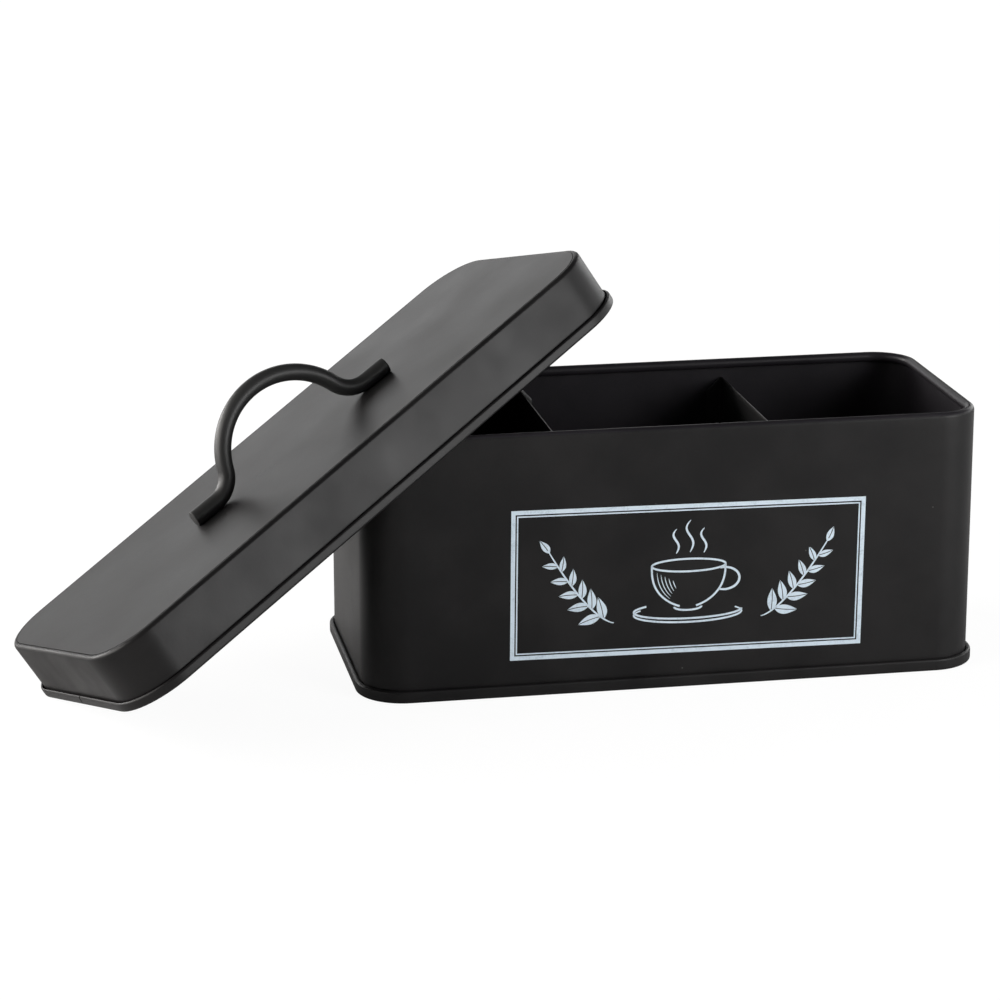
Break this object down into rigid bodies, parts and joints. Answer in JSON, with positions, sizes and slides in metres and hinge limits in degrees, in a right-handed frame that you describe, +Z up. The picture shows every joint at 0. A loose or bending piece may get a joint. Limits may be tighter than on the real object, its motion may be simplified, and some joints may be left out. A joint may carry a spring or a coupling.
{
  "type": "tea bag organizer box",
  "caption": "Rectangular sheet metal tea box with rounded corners, open compartments and a lift-off lid with a bent wire handle, leaning on its end.",
  "frame": {"origin": "middle of the box's base, on the surface that the box stands on", "axes": "+X along the box's long side, towards the end that the lid doesn't lean on; +Y from the front to the back; +Z up"},
  "size_m": [0.387, 0.199, 0.1687],
  "materials": {
    "coat": "satin black powder coat with a fine grain",
    "coat_inside": "satin black powder coat, a little darker inside",
    "coat_wire": "satin black powder coat on round wire"
  },
  "bodies": {
    "box": {"body_wall": "coat", "base_panel": "coat_inside", "divider_left": "coat_inside", "divider_right": "coat_inside"},
    "lid": {"lid_band": "coat", "lid_panel": "coat", "handle": "coat_wire"}
  },
  "joints": [
    {"name": "lid_lift", "type": "slide", "parent": "box", "child": "lid", "axis": [0, 0, 1], "range_m": [0, 0.15]}
  ]
}
